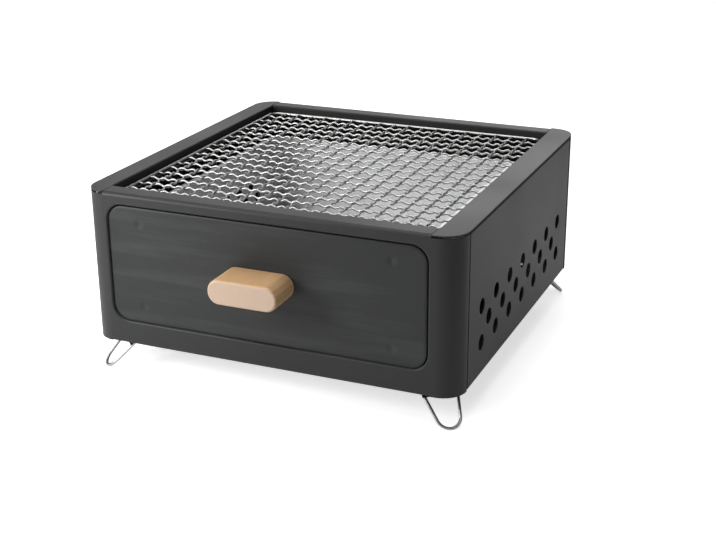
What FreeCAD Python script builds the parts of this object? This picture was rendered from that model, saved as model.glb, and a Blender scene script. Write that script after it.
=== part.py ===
# Portable charcoal grill: a sheet steel box on four folding wire legs, with a wire net on top and a
# charcoal drawer in front. Millimetres, +Z up, front towards -Y, origin on the ground.
import math
import os

import FreeCAD
import Part

V = FreeCAD.Vector

# Box
width = 300.0
depth = 300.0
body_height = 120.5
foot_height = 26.0
corner_radius = 18.0
sheet = 1.0
base_z = foot_height
top_z = base_z + body_height
half_x = width / 2
half_y = depth / 2

# Rim around the opening at the top
rim_left = 17.0
rim_right = 21.5
rim_front = 16.5
rim_back = 15.5
rim_bend_radius = 3.0
open_left = -half_x + rim_left
open_right = half_x - rim_right
open_front = -half_y + rim_front
open_back = half_y - rim_back
seam = 0.45
side_inset = 0.5
column_gap = 1.1
return_flange = 10.0
bottom_bend_radius = 1.3
side_bend_radius = 2.2

# Wire net
net_clearance = 1.0
net_drop = 6.5
border_radius = 1.3
mesh_radius = 0.8
crimp = 0.95
crimps_per_cell = 3
net_corner_radius = 9.0
long_wire_count = 17
cross_wire_count = 18
net_z = top_z - net_drop
net_left = open_left + net_clearance + border_radius
net_right = open_right - net_clearance - border_radius
net_front = open_front + net_clearance + border_radius
net_back = open_back - net_clearance - border_radius

# Ledge that carries the net
seat_gap = 0.3
ledge_width = 5.5
ledge_top = net_z - border_radius - seat_gap

# Vent holes in the sides
vent_radius = 6.0
vent_pitch = 33.6
vent_rows = (53.5, 39.35, 25.2)
vent_counts = (7, 6, 7)

# Bottom plate
bottom_sheet = 0.8
bottom_z = base_z + sheet
panel_gap = 0.1

# Drawer opening in the front panel
frame_left = 20.5
frame_right = 23.4
frame_low = 18.5
frame_high = 9.0
cutout_left = -half_x + frame_left
cutout_right = half_x - frame_right
cutout_low = base_z + frame_low
cutout_high = top_z - frame_high
cutout_radius = 13.0
cutout_lip = 6.0
cutout_edge_radius = 1.7

# Drawer front
front_gap = 0.8
front_sit = 0.45
front_recess = 1.8
front_flange = 9.0
front_edge_radius = 2.4
drawer_face_y = -half_y + front_recess
spot_x = 101.0
spot_z = 33.0

# Drawer body
slide_gap = 0.3
runner_top = base_z + 21.0
box_sheet = 0.8
box_side_room = 15.6
box_rear_room = 58.0
box_drop = 18.0
box_half = cutout_right - box_side_room
box_front = drawer_face_y + sheet
box_back = half_y - box_rear_room
box_low = runner_top + slide_gap
box_high = top_z - box_drop
box_hem = 4.0
box_corner_radius = 3.0
air_radius = 5.0
air_pitch = 22.0
air_counts = (7, 8)
air_drops = (31.5, 44.0)
air_insets = (47.0, 36.0)

# Drawer runners
runner_foot = 12.0
runner_ledge = 15.0
runner_guide = 8.0
runner_side_gap = 0.6
runner_inset = 16.0
runner_front = -half_y + runner_inset
runner_low = bottom_z + bottom_sheet

# Charcoal grate that stands in the drawer
grate_sheet = 0.8
grate_leg = 14.0
grate_gap = 2.4
slot_count = 9
slot_pitch = 24.0
slot_radius = 3.5
slot_half = 40.0
slot_offset = 52.0

# Wooden knob and its two screws
knob_half = 27.5
knob_radius = 9.5
knob_depth = 29.1
knob_edge = 1.9
knob_x = -3.5
knob_z = (cutout_low + cutout_high) / 2 + 1
screw_x = 14.0
screw_radius = 1.75
screw_length = 16.0
screw_head_radius = 3.6
screw_head = 1.8
screw_fit = 0.05

# Folding wire legs. Each one lies across a corner's diagonal and leans outwards.
# A leg and its bracket are measured from the leg's pivot.
wire_radius = 1.15
leg_lean = 45.0
pivot_inset = 21.45
pivot_drop = 3.4
arm_half = 13.95
toe_radius = 9.3
leg_bend = 2.6
axle_end = 9.0
pin_fit = 0.05
leg_reach = (foot_height - pivot_drop - wire_radius) / math.cos(math.radians(leg_lean))
pivot_z = base_z - pivot_drop

# Brackets of the legs
ear_inner = 10.0
ear_sheet = 1.0
ear_half = 2.6
bracket_half = 15.5
bracket_reach = 16.8
stop_length = 5.0
stop_gap = 0.3
rivet_u = -12.3
rivet_v = 8.0
rivet_radius = 1.5
rivet_head = 3.0
rivet_head_height = 1.1

# The origin lies under the middle of the whole grill, knob included
shift_y = (knob_depth - drawer_face_y - half_y) / 2


def box(x0, x1, y0, y1, z0, z1):
    return Part.makeBox(x1 - x0, y1 - y0, z1 - z0, V(x0, y0, z0))


def rounded_loop(a0, a1, b0, b1, radius, place):
    # Closed loop of a rectangle with round corners, in the plane that place maps to
    k = math.sqrt(0.5)
    edges = []
    corners = (
        (a1 - radius, b0 + radius, 1, -1),
        (a1 - radius, b1 - radius, 1, 1),
        (a0 + radius, b1 - radius, -1, 1),
        (a0 + radius, b0 + radius, -1, -1),
    )
    ends = []
    for ca, cb, sa, sb in corners:
        p = (ca + radius, cb) if sa > 0 else (ca - radius, cb)
        q = (ca, cb + radius) if sb > 0 else (ca, cb - radius)
        m = (ca + sa * radius * k, cb + sb * radius * k)
        if sa * sb < 0:
            p, q = q, p
        ends.append((p, m, q))
    for i in range(4):
        p, m, q = ends[i]
        nxt = ends[(i + 1) % 4][0]
        edges.append(Part.Arc(place(*p), place(*m), place(*q)).toShape())
        if abs(q[0] - nxt[0]) + abs(q[1] - nxt[1]) > 1e-6:
            edges.append(Part.makeLine(place(*q), place(*nxt)))
    return Part.Wire(Part.__sortEdges__(edges))


def prism_z(x0, x1, y0, y1, z0, z1, radius):
    loop = rounded_loop(x0, x1, y0, y1, radius, lambda a, b: V(a, b, z0))
    return Part.Face(loop).extrude(V(0, 0, z1 - z0))


def prism_y(x0, x1, z0, z1, y0, y1, radius):
    loop = rounded_loop(x0, x1, z0, z1, radius, lambda a, b: V(a, y0, b))
    return Part.Face(loop).extrude(V(0, y1 - y0, 0))


def bend_path(points, radii):
    # Lines and arcs of a folded strip's middle line, each as (kind, start, end, centre, turn)
    out = []
    last = points[0]
    for i in range(1, len(points) - 1):
        a, b, c = points[i - 1], points[i], points[i + 1]
        la = math.hypot(b[0] - a[0], b[1] - a[1])
        lc = math.hypot(c[0] - b[0], c[1] - b[1])
        ua = ((b[0] - a[0]) / la, (b[1] - a[1]) / la)
        uc = ((c[0] - b[0]) / lc, (c[1] - b[1]) / lc)
        turn = ua[0] * uc[1] - ua[1] * uc[0]
        half = math.acos(max(-1.0, min(1.0, ua[0] * uc[0] + ua[1] * uc[1]))) / 2
        r = radii[i - 1]
        cut = r * math.tan(half)
        p = (b[0] - ua[0] * cut, b[1] - ua[1] * cut)
        q = (b[0] + uc[0] * cut, b[1] + uc[1] * cut)
        s = 1 if turn > 0 else -1
        centre = (p[0] - ua[1] * s * r, p[1] + ua[0] * s * r)
        out.append(("line", last, p, None, 0))
        out.append(("arc", p, q, centre, s))
        last = q
    out.append(("line", last, points[-1], None, 0))
    return out


def offset_edges(path, distance, place):
    # Edges of the path moved sideways by distance, left of its direction
    edges = []
    ends = []
    for kind, p, q, centre, s in path:
        if kind == "line":
            length = math.hypot(q[0] - p[0], q[1] - p[1])
            n = (-(q[1] - p[1]) / length * distance, (q[0] - p[0]) / length * distance)
            p2 = (p[0] + n[0], p[1] + n[1])
            q2 = (q[0] + n[0], q[1] + n[1])
            edges.append(Part.makeLine(place(*p2), place(*q2)))
        else:
            r = math.hypot(p[0] - centre[0], p[1] - centre[1])
            k = (r - s * distance) / r
            p2 = (centre[0] + (p[0] - centre[0]) * k, centre[1] + (p[1] - centre[1]) * k)
            q2 = (centre[0] + (q[0] - centre[0]) * k, centre[1] + (q[1] - centre[1]) * k)
            mx = (p[0] + q[0]) / 2 - centre[0]
            my = (p[1] + q[1]) / 2 - centre[1]
            m = r * k / math.hypot(mx, my)
            mid = (centre[0] + mx * m, centre[1] + my * m)
            edges.append(Part.Arc(place(*p2), place(*mid), place(*q2)).toShape())
        ends.append((p2, q2))
    return edges, ends[0][0], ends[-1][1]


def ribbon(points, radii, thickness, place, along):
    # Folded sheet: its middle line, thickened and drawn out along a direction
    path = bend_path(points, radii)
    left, l0, l1 = offset_edges(path, thickness / 2, place)
    right, r0, r1 = offset_edges(path, -thickness / 2, place)
    caps = [Part.makeLine(place(*l0), place(*r0)), Part.makeLine(place(*l1), place(*r1))]
    loop = Part.Wire(Part.__sortEdges__(left + right + caps))
    return Part.Face(loop).extrude(along)


def box_skin(z0, z1):
    # Upright wall of the whole box with its round corners
    outer = prism_z(-half_x, half_x, -half_y, half_y, z0, z1, corner_radius)
    inner = prism_z(
        -half_x + sheet, half_x - sheet, -half_y + sheet, half_y - sheet, z0, z1, corner_radius - sheet
    )
    return outer.cut(inner)


def end_panel(side, strip_inner):
    # Front (side -1) or back (side 1) panel with both round corners and its strip of the rim
    y_mid = side * (half_y - sheet / 2)
    y_strip = strip_inner + side * sheet / 2
    x0 = open_left + seam
    x1 = open_right - seam
    middle = ribbon(
        [
            (side * (half_y - return_flange), base_z + sheet / 2),
            (y_mid, base_z + sheet / 2),
            (y_mid, top_z - sheet / 2),
            (y_strip, top_z - sheet / 2),
            (y_strip, ledge_top - sheet),
        ],
        [bottom_bend_radius - sheet / 2, rim_bend_radius - sheet / 2, 1.2],
        sheet,
        lambda a, b: V(x0, a, b),
        V(x1 - x0, 0, 0),
    )
    skin = box_skin(base_z, top_z - sheet - column_gap)
    y_seam = side * (half_y - corner_radius)
    y_far = side * (half_y + 1)
    ya, yb = min(y_seam, y_far), max(y_seam, y_far)
    left = skin.common(box(-half_x - 1, x0, ya, yb, base_z - 1, top_z))
    right = skin.common(box(x1, half_x + 1, ya, yb, base_z - 1, top_z))
    return middle.fuse([left, right]).removeSplitter()


def front_panel():
    panel = end_panel(-1, open_front)
    hole = prism_y(cutout_left, cutout_right, cutout_low, cutout_high, -half_y - 1, -half_y + 5, cutout_radius)
    panel = panel.cut(hole)
    lip = prism_y(
        cutout_left - sheet, cutout_right + sheet, cutout_low - sheet, cutout_high + sheet,
        -half_y, -half_y + cutout_lip, cutout_radius + sheet,
    )
    core = prism_y(
        cutout_left, cutout_right, cutout_low, cutout_high, -half_y - 1, -half_y + cutout_lip + 1, cutout_radius
    )
    panel = panel.fuse(lip.cut(core)).removeSplitter()
    edges = []
    for edge in panel.Edges:
        b = edge.BoundBox
        flat = abs(b.YMin + half_y) < 1e-4 and abs(b.YMax + half_y) < 1e-4
        inside = b.XMin > cutout_left - 0.01 and b.XMax < cutout_right + 0.01
        level = b.ZMin > cutout_low - 0.01 and b.ZMax < cutout_high + 0.01
        if flat and inside and level:
            edges.append(edge)
    return panel.makeFillet(cutout_edge_radius, edges)


def back_panel():
    return end_panel(1, open_back)


def side_panel(side):
    x_mid = side * (half_x - side_inset - sheet / 2)
    y_end = half_y - corner_radius - seam
    panel = ribbon(
        [
            (side * (half_x - return_flange), base_z + sheet / 2),
            (x_mid, base_z + sheet / 2),
            (x_mid, top_z - sheet * 1.5),
            (side * (half_x - return_flange), top_z - sheet * 1.5),
        ],
        [bottom_bend_radius - sheet / 2, side_bend_radius - sheet / 2],
        sheet,
        lambda a, b: V(a, -y_end, b),
        V(0, 2 * y_end, 0),
    )
    holes = []
    for z, count in zip(vent_rows, vent_counts):
        for i in range(count):
            y = (i - (count - 1) / 2) * vent_pitch
            start = V(side * (half_x - 3), y, base_z + z)
            holes.append(Part.makeCylinder(vent_radius, 6, start, V(side, 0, 0)))
    return panel.cut(holes)


def rim_rail(side):
    # Side plate of the rim with the upright and the ledge that carry the net
    x_open = open_left if side < 0 else open_right
    plate = prism_z(-half_x, half_x, -half_y, half_y, top_z - sheet, top_z, corner_radius)
    x_out = side * (half_x + 1)
    plate = plate.common(box(min(x_open, x_out), max(x_open, x_out), -half_y - 1, half_y + 1, base_z, top_z + 1))
    y0 = open_front + seam
    y1 = open_back - seam
    fold = ribbon(
        [
            (x_open + side * 8, top_z - sheet / 2),
            (x_open + side * sheet / 2, top_z - sheet / 2),
            (x_open + side * sheet / 2, ledge_top - sheet / 2),
            (x_open - side * ledge_width, ledge_top - sheet / 2),
        ],
        [1.0, 0.8],
        sheet,
        lambda a, b: V(a, y0, b),
        V(0, y1 - y0, 0),
    )
    x_near = x_open + side * 4
    keep = box(min(x_near, x_out), max(x_near, x_out), -half_y - 1, half_y + 1, base_z, top_z + 1)
    ends = plate.cut(box(-half_x, half_x, y0, y1, base_z, top_z + 1))
    return plate.common(keep).fuse([ends, fold]).removeSplitter()


corners = {"front_left": (-1, -1), "front_right": (1, -1), "back_left": (-1, 1), "back_right": (1, 1)}


def diagonal(shape, corner):
    # Turns a shape built along +X outwards over one corner and moves it to that corner's pivot
    side_x, side_y = corners[corner]
    out = shape.copy()
    out.rotate(V(0, 0, 0), V(0, 0, 1), math.degrees(math.atan2(side_y, side_x)))
    out.translate(V(side_x * (half_x - pivot_inset), side_y * (half_y - pivot_inset), 0))
    return out


def rivet_axes():
    # The two rivets of one bracket, before it is turned onto its diagonal
    return [(rivet_u, -rivet_v), (rivet_u, rivet_v)]


def bottom_plate():
    edge = side_inset + bottom_bend_radius + panel_gap
    plate = prism_z(
        -half_x + edge, half_x - edge, -half_y + edge, half_y - edge,
        bottom_z, bottom_z + bottom_sheet, corner_radius - edge,
    )
    for corner in corners:
        for u, v in rivet_axes():
            pin = Part.makeCylinder(rivet_radius + screw_fit, 6, V(u, v, bottom_z - 3))
            plate = plate.cut(diagonal(pin, corner))
    return plate


def drawer_runner(side):
    # Step-shaped strip: foot on the bottom plate, ledge under the drawer and guide beside it
    guide_x = box_half + runner_side_gap + sheet / 2
    web_x = guide_x - runner_ledge
    strip = ribbon(
        [
            (side * (web_x - runner_foot), runner_low + sheet / 2),
            (side * web_x, runner_low + sheet / 2),
            (side * web_x, runner_top - sheet / 2),
            (side * guide_x, runner_top - sheet / 2),
            (side * guide_x, runner_top + runner_guide),
        ],
        [1.5, 1.5, 0.8],
        sheet,
        lambda a, b: V(a, runner_front, b),
        V(0, box_back + slide_gap + sheet - runner_front, 0),
    )
    x0 = side * (web_x + 2)
    x1 = side * (guide_x - sheet / 2 + 0.1)
    stop_y = box_back + slide_gap
    stop = box(min(x0, x1), max(x0, x1), stop_y, stop_y + sheet, runner_top - sheet / 2, runner_top + 7)
    return strip.fuse(stop).removeSplitter()


def drawer_front():
    # Sits low and to the left in its opening, so the gap is widest at the top and at the right
    left = cutout_left + front_gap - front_sit
    right = cutout_right - front_gap - front_sit
    low = cutout_low + front_gap - front_sit
    high = cutout_high - front_gap - front_sit
    radius = cutout_radius - front_gap
    outer = prism_y(left, right, low, high, drawer_face_y, drawer_face_y + front_flange, radius)
    face_edges = []
    for edge in outer.Edges:
        b = edge.BoundBox
        if abs(b.YMin - drawer_face_y) < 1e-4 and abs(b.YMax - drawer_face_y) < 1e-4:
            face_edges.append(edge)
    outer = outer.makeFillet(front_edge_radius, face_edges)
    inner = prism_y(
        left + sheet, right - sheet, low + sheet, high - sheet,
        drawer_face_y + sheet, drawer_face_y + front_flange + 1, radius - sheet,
    )
    back_edges = []
    for edge in inner.Edges:
        b = edge.BoundBox
        if abs(b.YMax - drawer_face_y - sheet) < 1e-4:
            back_edges.append(edge)
    inner = inner.makeFillet(front_edge_radius - sheet, back_edges)
    panel = outer.cut(inner)
    cuts = []
    for sx in (-1, 1):
        for sz in (-1, 1):
            spot = V((left + right) / 2 + sx * spot_x, drawer_face_y - 11.75, (low + high) / 2 + sz * spot_z)
            ball = Part.makeSphere(12.0, spot)
            cuts.append(ball)
        start = V(knob_x + sx * screw_x, drawer_face_y - 5, knob_z)
        cuts.append(Part.makeCylinder(screw_radius + screw_fit, 10, start, V(0, 1, 0)))
    return panel.cut(cuts)


def drawer_body():
    outer = prism_z(-box_half, box_half, box_front, box_back, box_low, box_high, box_corner_radius)
    inner = prism_z(
        -box_half + box_sheet, box_half - box_sheet, box_front + box_sheet, box_back - box_sheet,
        box_low + box_sheet, box_high + 1, box_corner_radius - box_sheet,
    )
    shell = outer.cut(inner)
    hem = prism_z(
        -box_half - box_hem, box_half + box_hem, box_front + 12, box_back + box_hem,
        box_high - box_sheet, box_high, box_corner_radius + box_hem,
    )
    shell = shell.fuse(hem.cut(inner)).removeSplitter()
    cuts = []
    for count, drop, inset in zip(air_counts, air_drops, air_insets):
        for i in range(count):
            y = box_back - inset - i * air_pitch
            for side in (-1, 1):
                start = V(side * (box_half - 3), y, box_high - drop)
                cuts.append(Part.makeCylinder(air_radius, 6, start, V(side, 0, 0)))
    for side in (-1, 1):
        start = V(knob_x + side * screw_x, box_front - 1, knob_z)
        cuts.append(Part.makeCylinder(screw_radius + screw_fit, 4, start, V(0, 1, 0)))
    return shell.cut(cuts)


def charcoal_grate():
    # Slotted plate with both sides folded down as feet
    half = box_half - box_sheet - grate_gap
    y0 = box_front + box_sheet + grate_gap
    y1 = box_back - box_sheet - grate_gap
    z_floor = box_low + box_sheet
    z_top = z_floor + slide_gap + grate_leg
    mid = grate_sheet / 2
    plate = ribbon(
        [
            (-half + mid, z_floor + slide_gap),
            (-half + mid, z_top - mid),
            (half - mid, z_top - mid),
            (half - mid, z_floor + slide_gap),
        ],
        [1.6, 1.6],
        grate_sheet,
        lambda a, b: V(a, y0, b),
        V(0, y1 - y0, 0),
    )
    cuts = []
    for i in range(slot_count):
        y = (y0 + y1) / 2 + (i - (slot_count - 1) / 2) * slot_pitch
        for side in (-1, 1):
            x = side * slot_offset
            slot = prism_z(
                x - slot_half, x + slot_half, y - slot_radius, y + slot_radius,
                z_top - 3, z_top + 1, slot_radius - 0.001,
            )
            cuts.append(slot)
    return plate.cut(cuts)


def drawer_knob():
    y_front = drawer_face_y - knob_depth
    block = prism_y(
        knob_x - knob_half, knob_x + knob_half, knob_z - knob_radius, knob_z + knob_radius,
        y_front, drawer_face_y, knob_radius - 0.4,
    )
    rim = []
    for edge in block.Edges:
        b = edge.BoundBox
        if abs(b.YMin - y_front) < 1e-4 and abs(b.YMax - y_front) < 1e-4:
            rim.append(edge)
    block = block.makeFillet(knob_edge, rim)
    depth_in = screw_length - sheet - box_sheet + 1
    for side in (-1, 1):
        start = V(knob_x + side * screw_x, drawer_face_y, knob_z)
        block = block.cut(Part.makeCylinder(screw_radius + screw_fit, depth_in, start, V(0, -1, 0)))
    return block


def knob_screws():
    seat = box_front + box_sheet
    solids = []
    for side in (-1, 1):
        at = knob_x + side * screw_x
        start = V(at, seat, knob_z)
        tip = screw_length - 4
        shank = Part.makeCylinder(screw_radius, tip, start, V(0, -1, 0))
        point = Part.makeCone(screw_radius, 0.4, 4, V(at, seat - tip, knob_z), V(0, -1, 0))
        head = Part.makeCone(screw_head_radius, screw_head_radius - 0.9, screw_head, start, V(0, 1, 0))
        slot = box(-4, 4, seat + screw_head - 0.8, seat + screw_head + 1, -0.45, 0.45)
        slot.translate(V(at, 0, knob_z))
        solids.append(head.fuse([shank, point]).cut(slot).removeSplitter())
    return Part.makeCompound(solids)


def net_border():
    x0, x1, y0, y1 = net_left, net_right, net_front, net_back
    loop = rounded_loop(x0, x1, y0, y1, net_corner_radius, lambda a, b: V(a, b, net_z))
    start = V((x0 + x1) / 2, y0, net_z)
    line = None
    for edge in loop.Edges:
        b = edge.BoundBox
        if abs(b.YMax - y0) < 1e-4:
            line = edge
    assert line is not None
    ring = Part.Wire(Part.makeCircle(border_radius, start, V(1, 0, 0)))
    first = Part.makeLine(start, V(x1 - net_corner_radius, y0, net_z))
    last = Part.makeLine(V(x0 + net_corner_radius, y0, net_z), start)
    rest = [edge for edge in loop.Edges if not edge.isSame(line)]
    path = Part.Wire(Part.__sortEdges__([first] + rest + [last]))
    return path.makePipeShell([ring], True, False)


def crimped_wire(stations):
    # Square-section wire through the stations (along, height), as (point, height) pairs
    r = mesh_radius
    rings = []
    for centre, across in stations:
        rings.append(
            [centre + across * r, centre + V(0, 0, r), centre - across * r, centre - V(0, 0, r)]
        )
    faces = []
    for a, b in zip(rings[:-1], rings[1:]):
        for k in range(4):
            n = (k + 1) % 4
            faces.append(Part.Face(Part.makePolygon([a[k], a[n], b[n], b[k], a[k]])))
    for ring in (rings[0], rings[-1]):
        faces.append(Part.Face(Part.makePolygon(ring + [ring[0]])))
    solid = Part.Solid(Part.Shell(faces))
    if solid.Volume < 0:
        solid = solid.reversed()
    return solid


def mesh_lines(low, high, count):
    step = (high - low) / (count + 1)
    return [low + step * (i + 1) for i in range(count)]


def crimps(crossings, first_up, start, end):
    # Stations of one wire as (distance, height): a crimp over or under each crossing and two between
    out = [(start, 0.0)]
    step = (crossings[1] - crossings[0]) / crimps_per_cell
    for k in range((len(crossings) - 1) * crimps_per_cell + 1):
        out.append((crossings[0] + k * step, crimp if (k % 2 == 0) == first_up else -crimp))
    out.append((end, 0.0))
    return out


def net_long_wires():
    # Wires that run from left to right, over and under the cross wires in turn
    xs = mesh_lines(net_left, net_right, cross_wire_count)
    solids = []
    for j, y in enumerate(mesh_lines(net_front, net_back, long_wire_count)):
        run = crimps(xs, j % 2 == 0, net_left + border_radius, net_right - border_radius)
        solids.append(crimped_wire([(V(x, y, net_z + h), V(0, 1, 0)) for x, h in run]))
    return Part.makeCompound(solids)


def net_cross_wires():
    # Wires that run from front to back, under where the others pass over
    ys = mesh_lines(net_front, net_back, long_wire_count)
    solids = []
    for i, x in enumerate(mesh_lines(net_left, net_right, cross_wire_count)):
        run = crimps(ys, i % 2 == 1, net_front + border_radius, net_back - border_radius)
        solids.append(crimped_wire([(V(x, y, net_z + h), V(1, 0, 0)) for y, h in run]))
    return Part.makeCompound(solids)


def leg_wire():
    # One leg along +X, leaning outwards: axle ends, two arms that close in and a round toe
    lean = math.radians(leg_lean)
    down = V(math.sin(lean), 0, -math.cos(lean))
    pivot = V(0, 0, pivot_z)

    def at(v, s):
        return pivot + V(0, v, 0) + down * s

    s_c = leg_reach - toe_radius
    reach = math.hypot(arm_half, s_c)
    swing = math.acos(toe_radius / reach)
    line = math.atan2(-s_c, arm_half)
    touch = (toe_radius * math.cos(line + swing), s_c + toe_radius * math.sin(line + swing))
    path = bend_path([(axle_end, 0.0), (arm_half, 0.0), touch], [leg_bend])
    edges = []
    for mirror in (1, -1):
        for kind, p, q, centre, s in path:
            if kind == "line":
                edges.append(Part.makeLine(at(mirror * p[0], p[1]), at(mirror * q[0], q[1])))
            else:
                mx = (p[0] + q[0]) / 2 - centre[0]
                my = (p[1] + q[1]) / 2 - centre[1]
                m = leg_bend / math.hypot(mx, my)
                mid = at(mirror * (centre[0] + mx * m), centre[1] + my * m)
                edges.append(Part.Arc(at(mirror * p[0], p[1]), mid, at(mirror * q[0], q[1])).toShape())
    toe = Part.Arc(at(touch[0], touch[1]), at(0, leg_reach), at(-touch[0], touch[1])).toShape()
    edges.append(toe)
    wire = Part.Wire(Part.__sortEdges__(edges))
    ends = [v.Point for v in wire.OrderedVertexes]
    start = ends[0]
    way = V(0, 1, 0) if start.y < 0 else V(0, -1, 0)
    ring = Part.Wire(Part.makeCircle(wire_radius, start, way))
    return wire.makePipeShell([ring], True, False)


def leg_bracket():
    # Folded plate along +X: flat base, sloping stop behind the arms and two ears for the axle
    lean = math.radians(leg_lean)
    down = V(math.sin(lean), 0, -math.cos(lean))
    out = V(math.cos(lean), 0, math.sin(lean))
    face = wire_radius + stop_gap
    mid = face + ear_sheet / 2
    pivot = V(0, 0, pivot_z)
    line = pivot + out * mid
    z_mid = bottom_z - ear_sheet / 2
    t = (line.z - z_mid) / -down.z
    bend = line + down * t
    end = line + down * stop_length
    plate = ribbon(
        [(-bracket_reach, z_mid), (bend.x, z_mid), (end.x, end.z)],
        [1.0],
        ear_sheet,
        lambda a, b: V(a, -bracket_half, b),
        V(0, 2 * bracket_half, 0),
    )
    solids = []
    for side in (-1, 1):
        v0 = side * ear_inner
        v1 = side * (ear_inner + ear_sheet)
        ear = box(-ear_half - pivot_drop, ear_half, min(v0, v1), max(v0, v1), pivot_z - ear_half, bottom_z - ear_sheet / 2)
        far = out * (mid + 0.01)
        cutter = Part.makeBox(40, 60, 40, V(0, -30, -20))
        cutter.rotate(V(0, 0, 0), V(0, 1, 0), -leg_lean)
        cutter.translate(pivot + far)
        ear = ear.cut(cutter)
        solids.append(ear)
    bracket = plate.fuse(solids)
    axle = Part.makeCylinder(wire_radius + pin_fit, 40, V(0, -20, pivot_z), V(0, 1, 0))
    ear_end = ear_inner + ear_sheet
    ear_zone = box(-ear_half, ear_half, -ear_end, ear_end, pivot_z - ear_half, pivot_z + ear_half)
    bracket = bracket.cut(axle.common(ear_zone))
    for u, v in rivet_axes():
        bracket = bracket.cut(Part.makeCylinder(rivet_radius + screw_fit, 6, V(u, v, bottom_z - 4)))
    return bracket.removeSplitter()


def bracket_rivets():
    solids = []
    for corner in corners:
        for u, v in rivet_axes():
            low = bottom_z - ear_sheet
            high = bottom_z + bottom_sheet
            shank = Part.makeCylinder(rivet_radius, high - low, V(u, v, low))
            under = Part.makeCone(rivet_head - 1, rivet_head, rivet_head_height, V(u, v, low - rivet_head_height))
            over = Part.makeCone(rivet_head - 0.4, rivet_head - 1.2, 0.8, V(u, v, high))
            solids.append(diagonal(shank.fuse([under, over]).removeSplitter(), corner))
    return Part.makeCompound(solids)


nodes = {
    "front_panel": front_panel(),
    "back_panel": back_panel(),
    "left_side_panel": side_panel(-1),
    "right_side_panel": side_panel(1),
    "left_rim_rail": rim_rail(-1),
    "right_rim_rail": rim_rail(1),
    "bottom_plate": bottom_plate(),
    "left_drawer_runner": drawer_runner(-1),
    "right_drawer_runner": drawer_runner(1),
    "bracket_rivets": bracket_rivets(),
    "drawer_front": drawer_front(),
    "drawer_body": drawer_body(),
    "drawer_knob": drawer_knob(),
    "knob_screws": knob_screws(),
    "charcoal_grate": charcoal_grate(),
    "net_border": net_border(),
    "net_long_wires": net_long_wires(),
    "net_cross_wires": net_cross_wires(),
}
for corner in corners:
    nodes["leg_bracket_" + corner] = diagonal(leg_bracket(), corner)
    nodes["leg_" + corner] = diagonal(leg_wire(), corner)

os.makedirs("parts", exist_ok=True)
for name, shape in nodes.items():
    out = shape.copy()
    out.translate(V(0, shift_y, 0))
    out.exportStep("parts/" + name + ".step")
    b = out.BoundBox
    print(name, out.ShapeType, "valid", out.isValid(), "solids", len(out.Solids), "volume", round(out.Volume, 1),
          "box", [round(k, 2) for k in (b.XMin, b.XMax, b.YMin, b.YMax, b.ZMin, b.ZMax)])
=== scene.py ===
import math

import bmesh
import bpy
from mathutils import Matrix, Vector


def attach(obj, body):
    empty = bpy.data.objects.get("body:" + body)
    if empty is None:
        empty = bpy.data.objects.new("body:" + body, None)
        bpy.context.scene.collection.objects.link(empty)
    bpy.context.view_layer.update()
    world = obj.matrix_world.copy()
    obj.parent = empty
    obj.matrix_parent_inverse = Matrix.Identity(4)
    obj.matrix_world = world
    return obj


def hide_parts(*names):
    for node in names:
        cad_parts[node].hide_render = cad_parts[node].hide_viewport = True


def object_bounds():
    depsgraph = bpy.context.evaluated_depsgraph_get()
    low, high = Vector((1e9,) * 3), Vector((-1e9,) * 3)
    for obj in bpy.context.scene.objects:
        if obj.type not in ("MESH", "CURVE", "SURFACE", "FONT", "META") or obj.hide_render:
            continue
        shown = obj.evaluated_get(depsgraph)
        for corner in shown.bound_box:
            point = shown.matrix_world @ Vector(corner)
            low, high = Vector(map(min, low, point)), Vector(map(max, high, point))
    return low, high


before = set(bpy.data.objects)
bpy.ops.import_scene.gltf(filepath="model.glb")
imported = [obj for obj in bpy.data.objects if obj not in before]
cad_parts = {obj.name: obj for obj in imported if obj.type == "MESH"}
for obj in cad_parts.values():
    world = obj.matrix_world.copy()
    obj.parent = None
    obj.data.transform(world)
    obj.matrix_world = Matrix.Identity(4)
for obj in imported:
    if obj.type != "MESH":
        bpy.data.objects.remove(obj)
cad_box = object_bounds()
scene = bpy.context.scene
MM = 0.001

# Places are in millimetres. X and Y count from the middle of the box, Z from the ground.
# The knob sets the frame's own zero off, so the box's middle lies SHIFT_Y behind that zero.
HALF = cad_box[1].x / MM
TOP = cad_box[1].z / MM
SHIFT_Y = cad_box[1].y / MM - HALF


def vec(x, y, z):
    return Vector((x * MM, (y + SHIFT_Y) * MM, z * MM))


def place_of(point):
    return Vector((point.x / MM, point.y / MM - SHIFT_Y, point.z / MM))


def node_box(node_name):
    # Lowest and highest corner of a node of the frame
    places = [place_of(v.co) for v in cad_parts[node_name].data.vertices]
    low = Vector(min(p[axis] for p in places) for axis in range(3))
    high = Vector(max(p[axis] for p in places) for axis in range(3))
    return low, high


BASE = node_box("front_panel")[0].z
front_low, front_high = node_box("drawer_front")
FRONT_MIDDLE = (front_low + front_high) / 2
FRONT_FACE_Y = front_low.y

# Drawer front: its pressed edge, and how far it leans to the left and down in its play
FRONT_CORNER = 12.2
FRONT_EDGE = 2.4
FRONT_SHEET = 1.0
PRESSED = 0.35
PRESSED_WHERE_IT_LEANS = 0.15
FRONT_LEAN = 0.3
EDGE_MARGIN = 0.01

# Spot welds of the drawer front, counted from its middle, and the size of their dimples
WELD_X = 101.0
WELD_Z = 33.0
WELD_RADIUS = 5.2
WELD_DEPTH = 0.55

# Side panels: their faces stand level with the corners and their seams are open
SIDE_PROUD = 0.45
SEAM_FROM_Y = 129.0
SEAM_EXTRA = 1.5
RIM_SEAM_HEIGHT = 3.6
RIM_SEAM_EXTRA = 0.5

# Where the darker coat that paints the shade inside the box starts
RIM_PLATE = 0.8
INSIDE_FLOOR = 20.0
CUT_END_Y = 128.0
FACING = 0.5
FACING_ALONG = 0.7
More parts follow.
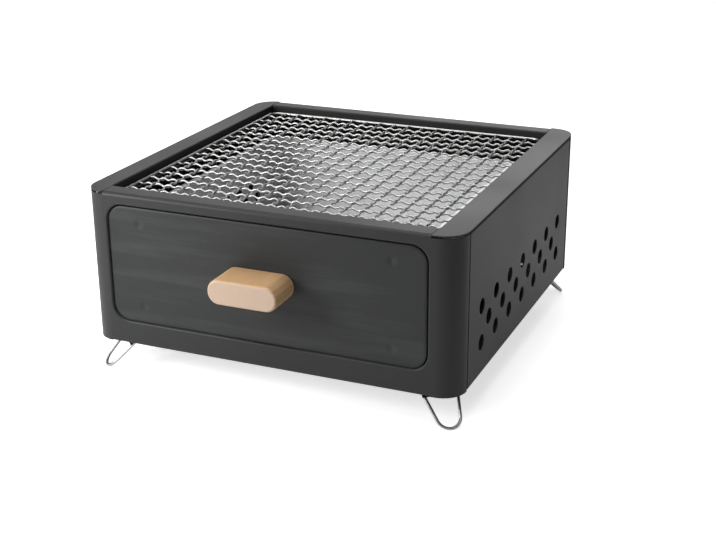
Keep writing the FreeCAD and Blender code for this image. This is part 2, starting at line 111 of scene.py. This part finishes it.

# Fire box: darkened by painted shade up to the first x, the plain bright sheet from the second
PAINTED_SHADE_TO_X = -102.0
UNSHADED_FROM_X = -62.0

# Edge rounding of each kind of piece, and the angles in degrees that count as an edge
SHEET_EDGE = 0.3
THIN_SHEET_EDGE = 0.15
WOOD_EDGE = 0.5
EDGE_SEGMENTS = 2
SHARP_EDGE = 40.0
SHADED_SHARP = 32.0
WIRE_SHADED_SHARP = 50.0

# Net: radii of the border wire and of the crimped wires, and the height of a crimp
BORDER = 1.3
BORDER_CORNER = 9.0
BORDER_CORNER_STEPS = 8
WIRE = 0.85
CRIMP = 0.7
CRIMPS_PER_CELL = 3
STEPS_PER_CRIMP = 5
LONG_WIRES = 17
CROSS_WIRES = 18
WIRE_RESOLUTION = 3

# Floor's half length in metres, and the light of floor and world as multiples of plain white
FLOOR_SIZE = 9.0
FLOOR_COLOUR = 0.80
FLOOR_SEEN = 0.66
FLOOR_MIRRORED = 0.22
WORLD_LIGHT = 0.12

# Lamps in metres and watts: place, target, width, height, power
LAMPS = {
    "overhead": ((-0.15, -0.15, 1.5), (0, 0, 0.1), 1.4, 1.4, 24.0),
    "near_left": ((-0.42, -0.50, 0.30), (-0.12, -0.14, 0.09), 0.22, 0.22, 4.1),
    "back_middle": ((-0.30, 1.5, 0.74), (0, 0, 0.12), 0.6, 0.4, 4.0),
    "back_left": ((-1.0, 1.5, 0.68), (0, 0, 0.12), 0.6, 0.5, 2.3),
}

# Camera: its place and lens in millimetres, its angles in degrees
CAMERA_PLACE = (417.07, -944.97, 444.23)
CAMERA_LENS = 67.10
CAMERA_SENSOR = 36.0
CAMERA_CLIP = 10.0
CAMERA_AZIMUTH = 23.3
CAMERA_ELEVATION = 20.9
CAMERA_ROLL = -0.43


# Shader helpers

def new_material(name):
    mat = bpy.data.materials.new(name)
    mat.use_nodes = True
    tree = mat.node_tree
    return mat, tree, tree.nodes["Principled BSDF"]


def node(tree, kind, **values):
    # A node whose named inputs and settings take the given values
    n = tree.nodes.new(kind)
    for key, value in values.items():
        if key in n.inputs:
            n.inputs[key].default_value = value
        else:
            setattr(n, key, value)
    return n


def feed(tree, socket, value):
    # A plain value is set on the socket, anything else is linked to it
    if isinstance(value, (int, float, tuple, Vector)):
        socket.default_value = value
    else:
        tree.links.new(value, socket)


def maths(tree, operation, *terms):
    n = node(tree, "ShaderNodeMath", operation=operation)
    for socket, term in zip(n.inputs, terms):
        feed(tree, socket, term)
    return n.outputs[0]


def ramp(tree, source, *stops):
    # Grey levels at places along the source
    n = tree.nodes.new("ShaderNodeValToRGB")
    for element, (place, level) in zip(n.color_ramp.elements, stops):
        element.position = place
        element.color = (level, level, level, 1)
    tree.links.new(source, n.inputs["Fac"])
    return n.outputs["Color"]


def smooth_rise(tree, source, start, end):
    n = node(tree, "ShaderNodeMapRange", interpolation_type="SMOOTHSTEP")
    n.inputs["From Min"].default_value = start
    n.inputs["From Max"].default_value = end
    tree.links.new(source, n.inputs["Value"])
    return n.outputs["Result"]


def mix(tree, factor, a, b):
    n = node(tree, "ShaderNodeMix", data_type="RGBA", blend_type="MIX")
    for index, value in ((0, factor), (6, a), (7, b)):
        feed(tree, n.inputs[index], value)
    return n.outputs[2]


def position(tree, scale=(1, 1, 1), location=(0, 0, 0)):
    coord = tree.nodes.new("ShaderNodeTexCoord")
    mapping = node(tree, "ShaderNodeMapping", Scale=scale, Location=location)
    tree.links.new(coord.outputs["Object"], mapping.inputs["Vector"])
    return mapping.outputs["Vector"]


def axis_of(tree, vector, axis):
    n = tree.nodes.new("ShaderNodeSeparateXYZ")
    tree.links.new(vector, n.inputs[0])
    return n.outputs[axis]


def noise(tree, vector, scale, detail=3.0, roughness=0.5):
    n = node(tree, "ShaderNodeTexNoise", Scale=scale, Detail=detail, Roughness=roughness)
    tree.links.new(vector, n.inputs["Vector"])
    return n.outputs["Fac"]


def bump(tree, height, strength, distance, onto):
    # A bump of the height, feeding the node whose Normal it shapes
    n = node(tree, "ShaderNodeBump", Strength=strength, Distance=distance)
    tree.links.new(height, n.inputs["Height"])
    tree.links.new(n.outputs["Normal"], onto.inputs["Normal"])
    return n


def tint(base, factor):
    return tuple(min(1, c * factor) for c in base) + (1,)


# Materials

def black_coat(name, base, rough):
    # Satin powder coat with a fine speck
    mat, tree, bsdf = new_material(name)
    cloud = noise(tree, position(tree), 9.0, 2.0)
    speck = noise(tree, position(tree), 900.0, 2.0)
    colour = mix(tree, cloud, tint(base, 0.92), tint(base, 1.10))
    colour = mix(tree, ramp(tree, speck, (0.45, 0), (0.75, 0.35)), colour, tint(base, 1.5))
    tree.links.new(colour, bsdf.inputs["Base Color"])
    rough_level = ramp(tree, cloud, (0.3, rough - 0.04), (0.7, rough + 0.05))
    tree.links.new(rough_level, bsdf.inputs["Roughness"])
    bsdf.inputs["Specular IOR Level"].default_value = 0.26
    fine = bump(tree, speck, 0.25, 0.12 * MM, bsdf)
    return mat, colour, fine


def coat_with_marks(name, base, rough):
    # The drawer front's coat, with faint long wipe marks and the dimples of four spot welds
    mat, colour, fine = black_coat(name, base, rough)
    tree = mat.node_tree
    wipe = noise(tree, position(tree, (4, 1, 45)), 1.0, 4.0, 0.6)
    marked = mix(tree, ramp(tree, wipe, (0.50, 0), (0.70, 0.6)), colour, tint(base, 2.6))
    tree.links.new(marked, tree.nodes["Principled BSDF"].inputs["Base Color"])
    nearest = None
    for side_x in (-1, 1):
        for side_z in (-1, 1):
            far = node(tree, "ShaderNodeVectorMath", operation="DISTANCE")
            tree.links.new(position(tree), far.inputs[0])
            weld_x = FRONT_MIDDLE.x + side_x * WELD_X
            weld_z = FRONT_MIDDLE.z + side_z * WELD_Z
            far.inputs[1].default_value = vec(weld_x, FRONT_FACE_Y, weld_z)
            distance = far.outputs["Value"]
            nearest = maths(tree, "MINIMUM", nearest, distance) if nearest else distance
    bump(tree, smooth_rise(tree, nearest, 0.0, WELD_RADIUS * MM), 1.0, WELD_DEPTH * MM, fine)
    return mat


def steel(name, base, rough, mottled, scale, grain, metal=1.0, streak=(1, 1, 1), painted_shade_left=False):
    # Sheet or wire with soft mottling and a fine grain
    mat, tree, bsdf = new_material(name)
    patches = noise(tree, position(tree, streak), scale, 3.0)
    fine = noise(tree, position(tree, streak), scale * 14, 2.0)
    colour = mix(tree, patches, tint(base, 1 - mottled), tint(base, 1 + mottled))
    if painted_shade_left:
        # Painted shade darkens the left, fading into the plain bright sheet on the right
        x = axis_of(tree, position(tree), "X")
        unshaded_mask = smooth_rise(tree, x, PAINTED_SHADE_TO_X * MM, UNSHADED_FROM_X * MM)
        painted_shade_colour = mix(tree, patches, (0.16, 0.16, 0.16, 1), (0.42, 0.42, 0.425, 1))
        colour = mix(tree, unshaded_mask, painted_shade_colour, colour)
    tree.links.new(colour, bsdf.inputs["Base Color"])
    bsdf.inputs["Metallic"].default_value = metal
    rough_level = ramp(tree, patches, (0.3, rough * 0.85), (0.7, rough * 1.15))
    tree.links.new(rough_level, bsdf.inputs["Roughness"])
    bump(tree, fine, 0.2, grain * MM, bsdf)
    return mat


def wood(name):
    # Beech with its grain from front to back
    mat, tree, bsdf = new_material(name)
    p = position(tree, (1.0, 0.10, 1.0), (0.0, 0.0, -0.06))
    rings = node(tree, "ShaderNodeTexWave", Scale=95.0, Distortion=3.0, Detail=3.0, bands_direction="Z")
    rings.inputs["Detail Scale"].default_value = 1.2
    tree.links.new(p, rings.inputs["Vector"])
    fleck = noise(tree, p, 1500.0, 2.0)
    cloud = noise(tree, p, 60.0, 2.0)
    pale, tan = (0.455, 0.29, 0.147, 1), (0.39, 0.235, 0.112, 1)
    colour = mix(tree, ramp(tree, rings.outputs["Fac"], (0.2, 0), (0.9, 1)), pale, tan)
    colour = mix(tree, ramp(tree, cloud, (0.35, 0), (0.7, 0.5)), colour, (0.42, 0.265, 0.14, 1))
    colour = mix(tree, ramp(tree, fleck, (0.58, 0), (0.72, 0.45)), colour, (0.26, 0.135, 0.06, 1))
    # The end grain, in front, is paler and pinker
    pores = noise(tree, position(tree), 2600.0, 1.0)
    end_pale, end_pore = (0.44, 0.325, 0.243, 1), (0.345, 0.238, 0.166, 1)
    end = mix(tree, ramp(tree, pores, (0.5, 0), (0.75, 0.5)), end_pale, end_pore)
    geometry = tree.nodes.new("ShaderNodeNewGeometry")
    forward = maths(tree, "MULTIPLY", axis_of(tree, geometry.outputs["Normal"], "Y"), -1.0)
    colour = mix(tree, ramp(tree, forward, (0.75, 0), (0.95, 1)), colour, end)
    tree.links.new(colour, bsdf.inputs["Base Color"])
    bsdf.inputs["Roughness"].default_value = 0.55
    bump(tree, fleck, 0.3, 0.12 * MM, bsdf)
    return mat


black = black_coat("powder_coat", (0.0165, 0.0172, 0.0168), 0.50)[0]
black_drawer = coat_with_marks("powder_coat_drawer", (0.0165, 0.0172, 0.0172), 0.50)
# A darker, rougher coat that paints the shade inside the box, in its seams and under its rims
painted_shade_coat = black_coat("powder_coat_painted_shade", (0.012, 0.012, 0.012), 0.70)[0]
# The fire box sheet carries painted shade on its left
pan_steel = steel("galvanised_sheet", (0.82, 0.82, 0.83), 0.40, 0.14, 55.0, 0.15, 0.12, painted_shade_left=True)
# The drawer box's outer faces are darkened as painted shade, dark behind the side vents
pan_outside_painted_shade = steel("galvanised_outside_painted_shade", (0.46, 0.46, 0.47), 0.40, 0.16, 55.0, 0.12, 0.85)
# Plain steel darkened as painted shade, for the runners seen through the vents
plain_steel_painted_shade = steel("plain_sheet_painted_shade", (0.22, 0.22, 0.22), 0.45, 0.12, 40.0, 0.05, streak=(6, 1, 6))
net_steel = steel("net_wire", (0.36, 0.36, 0.355), 0.34, 0.08, 120.0, 0.05)
leg_steel = steel("leg_wire_steel", (0.42, 0.42, 0.41), 0.34, 0.12, 150.0, 0.05)
screw_steel = steel("screw_zinc", (0.66, 0.64, 0.58), 0.32, 0.10, 200.0, 0.05)
beech = wood("beech")


# Mesh helpers

def new_object(name, data):
    obj = bpy.data.objects.new(name, data)
    scene.collection.objects.link(obj)
    return obj


def evaluated_mesh(obj):
    graph = bpy.context.evaluated_depsgraph_get()
    graph.update()
    return bpy.data.meshes.new_from_object(obj.evaluated_get(graph), depsgraph=graph)


def apply_modifiers(obj):
    mesh = evaluated_mesh(obj)
    obj.modifiers.clear()
    old = obj.data
    obj.data = mesh
    bpy.data.meshes.remove(old)


def finish_mesh(obj, material, body, replaced, sharp=SHADED_SHARP, edge=0.0):
    # Material, fine edge rounding, shading, and the piece's body and replaced nodes
    obj.data.materials.clear()
    obj.data.materials.append(material)
    if edge:
        rounding = obj.modifiers.new("edge", "BEVEL")
        rounding.width = edge * MM
        rounding.segments = EDGE_SEGMENTS
        rounding.limit_method = "ANGLE"
        rounding.angle_limit = math.radians(SHARP_EDGE)
        apply_modifiers(obj)
    obj.data.shade_smooth()
    obj.data.set_sharp_from_angle(angle=math.radians(sharp))
    if edge:
        weighted = obj.modifiers.new("normals", "WEIGHTED_NORMAL")
        weighted.mode = "FACE_AREA"
        weighted.weight = 100
        weighted.keep_sharp = True
        apply_modifiers(obj)
    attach(obj, body)
    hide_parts(*replaced)
    return obj


def cleaned_copy(node_name):
    # A node's mesh with its triangles joined to whole faces
    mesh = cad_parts[node_name].data.copy()
    bm = bmesh.new()
    bm.from_mesh(mesh)
    bmesh.ops.remove_doubles(bm, verts=bm.verts, dist=0.001 * MM)
    bmesh.ops.dissolve_limit(bm, angle_limit=math.radians(0.6), verts=bm.verts, edges=bm.edges)
    bm.to_mesh(mesh)
    bm.free()
    if "custom_normal" in mesh.attributes:
        mesh.attributes.remove(mesh.attributes["custom_normal"])
    return mesh


def dressed(node_name, name, material, body, edge):
    obj = new_object(name, cleaned_copy(node_name))
    return finish_mesh(obj, material, body, (node_name,), edge=edge)


def second_material(obj, material, takes):
    # Faces for which takes(place, normal, outward) holds get the second material
    obj.data.materials.append(material)
    for face in obj.data.polygons:
        place, normal = place_of(face.center), face.normal
        if abs(place.x) > abs(place.y):
            outward = normal.x * math.copysign(1, place.x)
        else:
            outward = normal.y * math.copysign(1, place.y)
        if takes(place, normal, outward):
            face.material_index = 1


def takes_painted_shade(place, normal, outward):
    # Faces that get the painted shade: they look into the box, are a side panel's cut end, or are an
    # underside above the floor
    cut_end = abs(place.x) > abs(place.y) > CUT_END_Y and abs(normal.y) > FACING_ALONG
    underside = normal.z < -FACING and place.z > BASE + INSIDE_FLOOR
    return place.z < TOP - RIM_PLATE and (outward < -FACING or cut_end or underside)


def is_outside(place, normal, outward):
    return outward > FACING or normal.z < -FACING


def open_seams(obj):
    # Side panel level with the corners, with open seams at its upright ends and under the rim
    for v in obj.data.vertices:
        place = place_of(v.co)
        v.co.x += math.copysign(SIDE_PROUD, place.x) * MM
        if abs(place.y) > SEAM_FROM_Y:
            v.co.y -= math.copysign(SEAM_EXTRA, place.y) * MM
        if place.z > TOP - RIM_SEAM_HEIGHT:
            v.co.z -= RIM_SEAM_EXTRA * MM


def press_edge(obj):
    # The drawer front's rounding is pressed flat, so its joint with the opening stays a fine line,
    # and it lies against the opening on the left and below
    places = [place_of(v.co) for v in obj.data.vertices]
    low_x, high_x = min(p.x for p in places), max(p.x for p in places)
    low_z, high_z = min(p.z for p in places), max(p.z for p in places)
    flat_x = (high_x - low_x) / 2 - FRONT_CORNER
    flat_z = (high_z - low_z) / 2 - FRONT_CORNER
    for v, place in zip(obj.data.vertices, places):
        from_x = place.x - (low_x + high_x) / 2
        from_z = place.z - (low_z + high_z) / 2
        out_x, out_z = abs(from_x) - flat_x, abs(from_z) - flat_z
        reach = math.hypot(max(out_x, 0), max(out_z, 0)) + min(max(out_x, out_z), 0)
        # Edge is how far the point lies inside the outline, depth how far behind the face
        edge = FRONT_CORNER - reach
        depth = place.y - FRONT_FACE_Y
        if edge > FRONT_EDGE + EDGE_MARGIN:
            continue
        aim = Vector((math.copysign(max(out_x, 0), from_x), math.copysign(max(out_z, 0), from_z)))
        aim.normalize()
        left, down = max(-aim.x, 0), max(-aim.y, 0)
        v.co.x -= left * FRONT_LEAN * MM
        v.co.z -= down * FRONT_LEAN * MM
        on_outer_skin = math.hypot(FRONT_EDGE - edge, FRONT_EDGE - depth) > FRONT_EDGE - FRONT_SHEET / 2
        if depth < FRONT_EDGE + EDGE_MARGIN and on_outer_skin:
            kept = PRESSED + (PRESSED_WHERE_IT_LEANS - PRESSED) * max(left, down)
            v.co.y -= depth * (1 - kept) * MM


def give_material(node_name, material):
    # A node carried over as it is
    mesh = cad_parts[node_name].data
    mesh.materials.clear()
    mesh.materials.append(material)


# Sheet metal, wood and fasteners

def dress_housing():
    panels = ("front_panel", "back_panel", "left_side_panel", "right_side_panel")
    for name in panels + ("left_rim_rail", "right_rim_rail"):
        sheet = dressed(name, name + "_sheet", black, "housing", SHEET_EDGE)
        # Faces in the box, cut ends and undersides get the painted shade coat
        second_material(sheet, painted_shade_coat, takes_painted_shade)
        if name.endswith("side_panel"):
            open_seams(sheet)
    # The bottom plate takes the painted shade coat too
    give_material("bottom_plate", painted_shade_coat)
    # The runners take the darkened steel, painted shade inside the box
    give_material("left_drawer_runner", plain_steel_painted_shade)
    give_material("right_drawer_runner", plain_steel_painted_shade)


def dress_drawer():
    front = dressed("drawer_front", "drawer_front_sheet", black_drawer, "drawer", SHEET_EDGE)
    press_edge(front)
    box = dressed("drawer_body", "drawer_box", pan_steel, "drawer", THIN_SHEET_EDGE)
    # Outer faces and underside of the drawer box take the painted shade sheet
    second_material(box, pan_outside_painted_shade, is_outside)
    dressed(
        "charcoal_grate", "charcoal_grate_sheet", pan_steel, "charcoal_grate", THIN_SHEET_EDGE
    )
    dressed("drawer_knob", "wooden_knob", beech, "drawer", WOOD_EDGE)
    give_material("knob_screws", screw_steel)


def dress_legs():
    for corner in ("front_left", "front_right", "back_left", "back_right"):
        give_material("leg_bracket_" + corner, black)
        give_material("leg_" + corner, leg_steel)
    give_material("bracket_rivets", screw_steel)


# Net of crimped wires

def wire_piece(name, paths, radius, replaced, cyclic=False):
    curve = bpy.data.curves.new(name, "CURVE")
    curve.dimensions = "3D"
    curve.bevel_depth = radius * MM
    curve.bevel_resolution = WIRE_RESOLUTION
    curve.use_fill_caps = True
    for points in paths:
        spline = curve.splines.new("POLY")
        spline.points.add(len(points) - 1)
        for spline_point, point in zip(spline.points, points):
            spline_point.co = (*point, 1)
        spline.use_cyclic_u = cyclic
    guide = new_object(name, curve)
    mesh = evaluated_mesh(guide)
    bpy.data.objects.remove(guide)
    bpy.data.curves.remove(curve)
    obj = new_object(name, mesh)
    return finish_mesh(obj, net_steel, "net", (replaced,), sharp=WIRE_SHADED_SHARP)


def spaced(low, high, count):
    step = (high - low) / (count + 1)
    return [low + step * (i + 1) for i in range(count)]


def border_path(low, high):
    r = BORDER_CORNER
    corners = (
        (high.x - r, low.y + r, -90), (high.x - r, high.y - r, 0),
        (low.x + r, high.y - r, 90), (low.x + r, low.y + r, 180),
    )
    points = []
    for centre_x, centre_y, start in corners:
        for i in range(BORDER_CORNER_STEPS + 1):
            angle = math.radians(start + i * 90 / BORDER_CORNER_STEPS)
            x, y = centre_x + r * math.cos(angle), centre_y + r * math.sin(angle)
            points.append(vec(x, y, low.z))
    return points


def crimped_path(crossings, up_first, low, high):
    # Place along the wire and height, with a crimp over or under each crossing and two between
    step = (crossings[1] - crossings[0]) / CRIMPS_PER_CELL
    last = (len(crossings) - 1) * CRIMPS_PER_CELL
    knots = [(low, 0.0)]
    for k in range(-2, last + 3):
        height = CRIMP if (k % 2 == 0) == up_first else -CRIMP
        knots.append((crossings[0] + k * step, height))
    knots.append((high, 0.0))
    path = []
    for (start, start_height), (end, end_height) in zip(knots[:-1], knots[1:]):
        for i in range(STEPS_PER_CRIMP):
            t = i / STEPS_PER_CRIMP
            rise = (1 - math.cos(math.pi * t)) / 2
            height = start_height + (end_height - start_height) * rise
            path.append((start + (end - start) * t, height))
    path.append((high, 0.0))
    return path


def build_net():
    # The middle line of the border wire bounds both families of mesh wires
    low, high = node_box("net_border")
    low += Vector((BORDER, BORDER, 0))
    high -= Vector((BORDER, BORDER, 0))
    low.z = high.z = (low.z + high.z) / 2
    net_x = spaced(low.x, high.x, CROSS_WIRES)
    net_y = spaced(low.y, high.y, LONG_WIRES)
    across = []
    for j, y in enumerate(net_y):
        path = crimped_path(net_x, j % 2 == 0, low.x, high.x)
        across.append([vec(along, y, low.z + height) for along, height in path])
    deep = []
    for i, x in enumerate(net_x):
        path = crimped_path(net_y, i % 2 == 1, low.y, high.y)
        deep.append([vec(x, along, low.z + height) for along, height in path])
    wire_piece("net_border_wire", [border_path(low, high)], BORDER, "net_border", cyclic=True)
    wire_piece("net_wires_across", across, WIRE, "net_long_wires")
    wire_piece("net_wires_deep", deep, WIRE, "net_cross_wires")


# Floor, light and camera

def build_floor():
    # White to the camera, greyer in the object's mirror images, and with the object's shadow
    s = FLOOR_SIZE
    mesh = bpy.data.meshes.new("floor")
    mesh.from_pydata([(-s, -s, 0), (s, -s, 0), (s, s, 0), (-s, s, 0)], [], [(0, 1, 2, 3)])
    floor = new_object("floor", mesh)
    mat, tree, bsdf = new_material("pale_floor")
    bsdf.inputs["Base Color"].default_value = (FLOOR_COLOUR, FLOOR_COLOUR, FLOOR_COLOUR, 1)
    bsdf.inputs["Roughness"].default_value = 0.9
    ray = tree.nodes.new("ShaderNodeLightPath")
    mirrored = maths(tree, "MULTIPLY", ray.outputs["Is Glossy Ray"], FLOOR_MIRRORED)
    glow = maths(tree, "MULTIPLY_ADD", ray.outputs["Is Camera Ray"], FLOOR_SEEN, mirrored)
    bsdf.inputs["Emission Color"].default_value = (1, 1, 1, 1)
    tree.links.new(glow, bsdf.inputs["Emission Strength"])
    mesh.materials.append(mat)


def build_world():
    world = bpy.data.worlds.new("studio")
    scene.world = world
    world.use_nodes = True
    tree = world.node_tree
    background = tree.nodes["Background"]
    background.inputs["Color"].default_value = (1, 1, 1, 1)
    ray = tree.nodes.new("ShaderNodeLightPath")
    strength = tree.nodes.new("ShaderNodeMapRange")
    strength.inputs["To Min"].default_value = WORLD_LIGHT
    strength.inputs["To Max"].default_value = 1.0
    tree.links.new(ray.outputs["Is Camera Ray"], strength.inputs["Value"])
    tree.links.new(strength.outputs["Result"], background.inputs["Strength"])


def build_lamps():
    for name, (place, target, width, height, power) in LAMPS.items():
        lamp = bpy.data.lights.new(name, "AREA")
        lamp.shape = "RECTANGLE"
        lamp.size = width
        lamp.size_y = height
        lamp.energy = power
        obj = new_object(name, lamp)
        obj.location = place
        aim = Vector(target) - Vector(place)
        obj.rotation_euler = aim.to_track_quat("-Z", "Y").to_euler()


def build_camera():
    camera = bpy.data.cameras.new("camera")
    camera.sensor_width = CAMERA_SENSOR
    camera.lens = CAMERA_LENS
    camera.clip_start = CAMERA_CLIP * MM
    obj = new_object("camera", camera)
    azimuth, elevation = math.radians(CAMERA_AZIMUTH), math.radians(CAMERA_ELEVATION)
    roll = math.radians(CAMERA_ROLL)
    away_x, away_y = math.sin(azimuth), -math.cos(azimuth)
    back = Vector((away_x * math.cos(elevation), away_y * math.cos(elevation), math.sin(elevation)))
    level = Vector((math.cos(azimuth), math.sin(azimuth), 0))
    upright = back.cross(level)
    right = level * math.cos(roll) + upright * math.sin(roll)
    up = upright * math.cos(roll) - level * math.sin(roll)
    turn = Matrix((right, up, back)).transposed().to_4x4()
    turn.translation = vec(*CAMERA_PLACE)
    obj.matrix_world = turn
    scene.camera = obj


dress_housing()
dress_drawer()
dress_legs()
build_net()
build_floor()
build_world()
build_lamps()
build_camera()
scene.view_settings.view_transform = "Standard"
